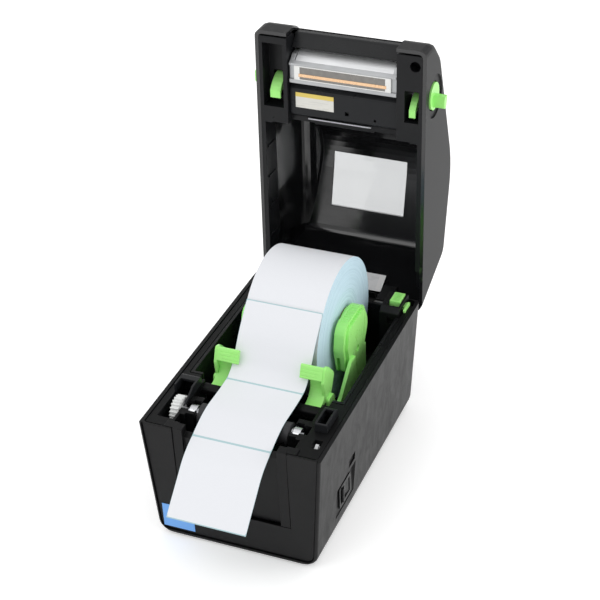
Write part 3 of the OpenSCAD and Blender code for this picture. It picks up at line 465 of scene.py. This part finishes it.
def build_roll():
    """The wound labels: each turn stands out from the side by its own small amount."""
    bm = bmesh.new()
    rng = random.Random(3)
    half = LABEL_W / 2
    step = (ROLL_R - CORE_R) / TURNS
    rings = []
    for side in (-1, 1):
        for k in range(TURNS + 1):
            inset = 0.02 + 0.09 * rng.random() ** 2
            for edge in ((0,) if k in (0, TURNS) else (0, 1)):
                r = min(ROLL_R, CORE_R + step * k + edge * 0.06)
                rings.append((side, r, inset if edge == 0 else 0.02 + 0.09 * rng.random() ** 2))
    ordered = [r for r in rings if r[0] < 0] + list(reversed([r for r in rings if r[0] > 0]))
    rows = []
    for side, r, inset in ordered:
        row = []
        for i in range(SEGMENTS):
            t = 2 * math.pi * i / SEGMENTS
            wave = 0.03 * math.sin(2 * t + r) if r < ROLL_R - 1 else 0
            row.append(bm.verts.new(at(side * (half - inset - abs(wave)), ROLL_Y + r * math.cos(t),
                                       ROLL_Z + r * math.sin(t))))
        rows.append(row)
    grid(bm, rows, close=True)
    grid(bm, [rows[-1], rows[0]], close=True)
    bmesh.ops.recalc_face_normals(bm, faces=bm.faces)
    middle = at(0, ROLL_Y, ROLL_Z)
    for face in bm.faces:
        c = face.calc_center_median()
        if math.hypot(c.y - middle.y, c.z - middle.z) > (ROLL_R - 0.3) * MM and abs(face.normal.x) < 0.3:
            face.material_index = 1
    piece("roll_layers", bm, "roll", ["label_roll"], ["side", "label"])


LEAVE = math.radians(136)
WEB_PATH = [(78, 107), (70.5, 97), (64.5, 89.5), (57.5, 85.2), (48, 84.2), (38, 84), (27, 83.95),
            (18, 82.3), (7.5, 78.8), (-7.5, 72.3), (-20, 61.5), (-35, 47.7), (-46, 36)]


def web_points(steps=8):
    """Points and lengths along the web, from the roll to its free end."""
    ghost = [(ROLL_Y + (ROLL_R + 0.5) * math.cos(a), ROLL_Z + (ROLL_R + 0.5) * math.sin(a))
             for a in (LEAVE - math.radians(12), LEAVE)]
    p = [Vector(q) for q in ghost + WEB_PATH]
    out = []
    for i in range(1, len(p) - 2):
        for k in range(steps):
            t = k / steps
            out.append(0.5 * (2 * p[i] + t * (p[i + 1] - p[i - 1])
                              + t * t * (2 * p[i - 1] - 5 * p[i] + 4 * p[i + 1] - p[i + 2])
                              + t ** 3 * (3 * p[i] - p[i - 1] - 3 * p[i + 1] + p[i + 2])))
    out.append(p[-2])
    run = [0.0]
    for a, b in zip(out, out[1:]):
        run.append(run[-1] + (b - a).length)
    return out, run


def web_spot(points, run, s):
    """The point at length s and the direction out of the web's upper face."""
    s = max(0.0, min(run[-1], s))
    k = max(i for i in range(len(run) - 1) if run[i] <= s + 1e-9)
    f = (s - run[k]) / (run[k + 1] - run[k])
    p = points[k].lerp(points[k + 1], f)
    t = (points[min(k + 2, len(points) - 1)] - points[max(k - 1, 0)]).normalized()
    return p, Vector((t.y, -t.x))


def build_web():
    """Liner with labels on it, each label a little thicker than the gap between two."""
    points, run = web_points()
    total = run[-1]
    pitch, gap = total / 3, 1.3
    liner_t, label_t, margin, corner = 0.07, 0.06, 0.15, 0.5
    across = [-1, -0.75, -0.5, -0.25, 0, 0.25, 0.5, 0.75, 1]

    def slab(bm, s0, s1, half, low, high, r=0.0):
        count = max(2, int((s1 - s0) / 1.5))
        rows = [[], []]
        for i in range(count + 1):
            s = s0 + (s1 - s0) * i / count
            end = min(s - s0, s1 - s)
            cut = 0.0 if end >= r else r - math.sqrt(max(0.0, r * r - (r - end) ** 2))
            p, out = web_spot(points, run, s)
            for layer, lift in enumerate((low, high)):
                q = p + out * lift
                rows[layer].append([bm.verts.new(at(a * (half - cut), q.x, q.y)) for a in across])
        grid(bm, rows[0])
        grid(bm, rows[1])
        for i in range(count):
            for j in (0, -1):
                bm.faces.new((rows[0][i][j], rows[0][i + 1][j], rows[1][i + 1][j], rows[1][i][j]))
        for i in (0, -1):
            for j in range(len(across) - 1):
                bm.faces.new((rows[0][i][j], rows[0][i][j + 1], rows[1][i][j + 1], rows[1][i][j]))
        bmesh.ops.recalc_face_normals(bm, faces=bm.faces)

    liner, labels = bmesh.new(), bmesh.new()
    slab(liner, 0.0, total, LABEL_W / 2, -0.1, -0.1 + liner_t)
    for k in range(3):
        slab(labels, k * pitch + gap / 2, (k + 1) * pitch - gap / 2, LABEL_W / 2 - margin,
             -0.1 + liner_t + 0.005, -0.1 + liner_t + label_t, corner)
    upper = piece("web_labels", labels, "base", [], ["label"])
    lower = piece("web_liner", liner, "base", ["label_web"], ["liner"])
    return total


COIL_STEPS, COIL_SHARP, WIRE_R = 120, math.radians(60), 0.5


def build_springs():
    """The print head's two compression springs, as wound wire with flat end turns."""
    y, low, high, radius, turns, end_turn = 26.5, 97.85, 109.25, 3, 5.6, 0.06
    bm = bmesh.new()
    for x in (-20, 22):
        path = []
        for i in range(COIL_STEPS + 1):
            t = i / COIL_STEPS
            turn = 2 * math.pi * turns * t
            climb = min(1.0, max(0.0, (t - end_turn) / (1 - 2 * end_turn)))
            z = low + WIRE_R + (high - low - 2 * WIRE_R) * climb
            path.append(on_lid(x + radius * math.cos(turn), y + radius * math.sin(turn), z))
        tube(bm, path, WIRE_R * MM)
    obj = piece("spring_coils", bm, "lid", ["head_springs"], ["steel"], COIL_SHARP)
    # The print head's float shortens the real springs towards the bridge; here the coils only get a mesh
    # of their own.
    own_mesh(obj)


def build_latch_spring():
    """The torsion spring round the latch shaft."""
    y, z, radius, start, length, turns = 36, 101, 3.3, 8, 7.5, 6
    bm = bmesh.new()
    path = []
    for i in range(COIL_STEPS + 1):
        t = i / COIL_STEPS
        turn = 2 * math.pi * turns * t
        path.append(on_lid(start + length * t, y + radius * math.cos(turn), z + radius * math.sin(turn)))
    tube(bm, path, WIRE_R * MM)
    piece("latch_coil", bm, "latch", ["latch_spring"], ["steel"], COIL_SHARP)


def build_brush():
    """The brush at the plate's edge: a folded strip with tufts of fine wire."""
    bm = bmesh.new()
    rng = random.Random(5)
    tufts, hairs, pitch, root, tip, hair_r = 21, 7, 2, 87.0, 86.03, 0.05
    low, high = on_lid(-23, 57.02, 86.9), on_lid(19, 57.78, 89.4)
    verts = [bm.verts.new((x, y, z))
             for x in (low.x, high.x) for y in (low.y, high.y) for z in (low.z, high.z)]
    for quad in ((0, 1, 3, 2), (4, 6, 7, 5), (0, 4, 5, 1), (2, 3, 7, 6), (0, 2, 6, 4), (1, 5, 7, 3)):
        bm.faces.new([verts[i] for i in quad])
    for k in range(tufts):
        for j in range(hairs):
            x, y = -22.5 + pitch * k + 0.14 * j, 57.3 + 0.05 * (j % 3)
            lean = rng.uniform(-0.04, 0.04)
            tube(bm, [on_lid(x, y, root), on_lid(x + lean, y, tip)], hair_r * MM, 5)
    bmesh.ops.recalc_face_normals(bm, faces=bm.faces)
    piece("brush_tufts", bm, "lid", ["static_brush"], ["sheet"])


build_roll()
web_length = build_web()
build_springs()
build_latch_spring()
build_brush()

# ------------------------------------------------------------------ floor, light, camera


def stage_floor():
    bm = bmesh.new()
    rows = []
    for i in range(25):
        t = i / 24
        if t < 0.5:
            y, z = -3 + 5 * t / 0.5, 0.0
        else:
            a = (t - 0.5) / 0.5 * math.pi / 2
            y, z = 2 + 1.5 * math.sin(a), 1.5 * (1 - math.cos(a))
        rows.append([bm.verts.new((x, y, z - 0.0002)) for x in (-4, 4)])
    grid(bm, rows)
    data = bpy.data.meshes.new("floor")
    bm.to_mesh(data)
    bm.free()
    m = Nodes("floor_white", (0.93, 0.93, 0.93), 0.9)
    m.base(m.mix(m.noise(3, 2), (0.92, 0.92, 0.92), (0.94, 0.94, 0.94)))
    m.set("Emission Color", (1, 1, 1, 1))
    m.set("Emission Strength", 0.34)
    data.materials.append(m.mat)
    data.shade_smooth()
    floor = bpy.data.objects.new("floor", data)
    bpy.context.scene.collection.objects.link(floor)


def soft_light(name, place, target, size, power, color=(1, 1, 1)):
    data = bpy.data.lights.new(name, "AREA")
    data.shape = "RECTANGLE"
    data.size, data.size_y = size
    data.energy = power
    data.color = color
    obj = bpy.data.objects.new(name, data)
    obj.location = place
    obj.rotation_euler = (Vector(target) - Vector(place)).to_track_quat("-Z", "Y").to_euler()
    bpy.context.scene.collection.objects.link(obj)


stage_floor()
world = bpy.data.worlds.new("studio")
world.use_nodes = True
world.node_tree.nodes["Background"].inputs[0].default_value = (1, 1, 1, 1)
world.node_tree.nodes["Background"].inputs[1].default_value = 0.8
bpy.context.scene.world = world
soft_light("key", (-0.7, -0.9, 1.5), (0, 0, 0.08), (1.2, 1.2), 5)
soft_light("side", (1.4, 0.1, 0.7), (0, 0, 0.06), (0.9, 1.2), 5)
soft_light("top", (0.0, 0.3, 1.7), (0, 0.0, 0.05), (1.4, 1.0), 2.5)

def aim_camera():
    """A long lens from the front right and above, tilted a little to one side."""
    place = Vector((0.3342, -0.7742, 0.6659))
    around, down, tilt = (math.radians(a) for a in (23.11, 33.04, -2.18))
    data = bpy.data.cameras.new("camera")
    data.lens = 98.1
    data.sensor_width = 36
    camera = bpy.data.objects.new("camera", data)
    turn = Matrix.Rotation(around, 4, "Z") @ Matrix.Rotation(math.pi / 2 - down, 4, "X")
    camera.matrix_world = Matrix.Translation(place) @ turn @ Matrix.Rotation(tilt, 4, "Z")
    bpy.context.scene.collection.objects.link(camera)
    bpy.context.scene.camera = camera


aim_camera()
bpy.context.scene.view_settings.view_transform = "Standard"
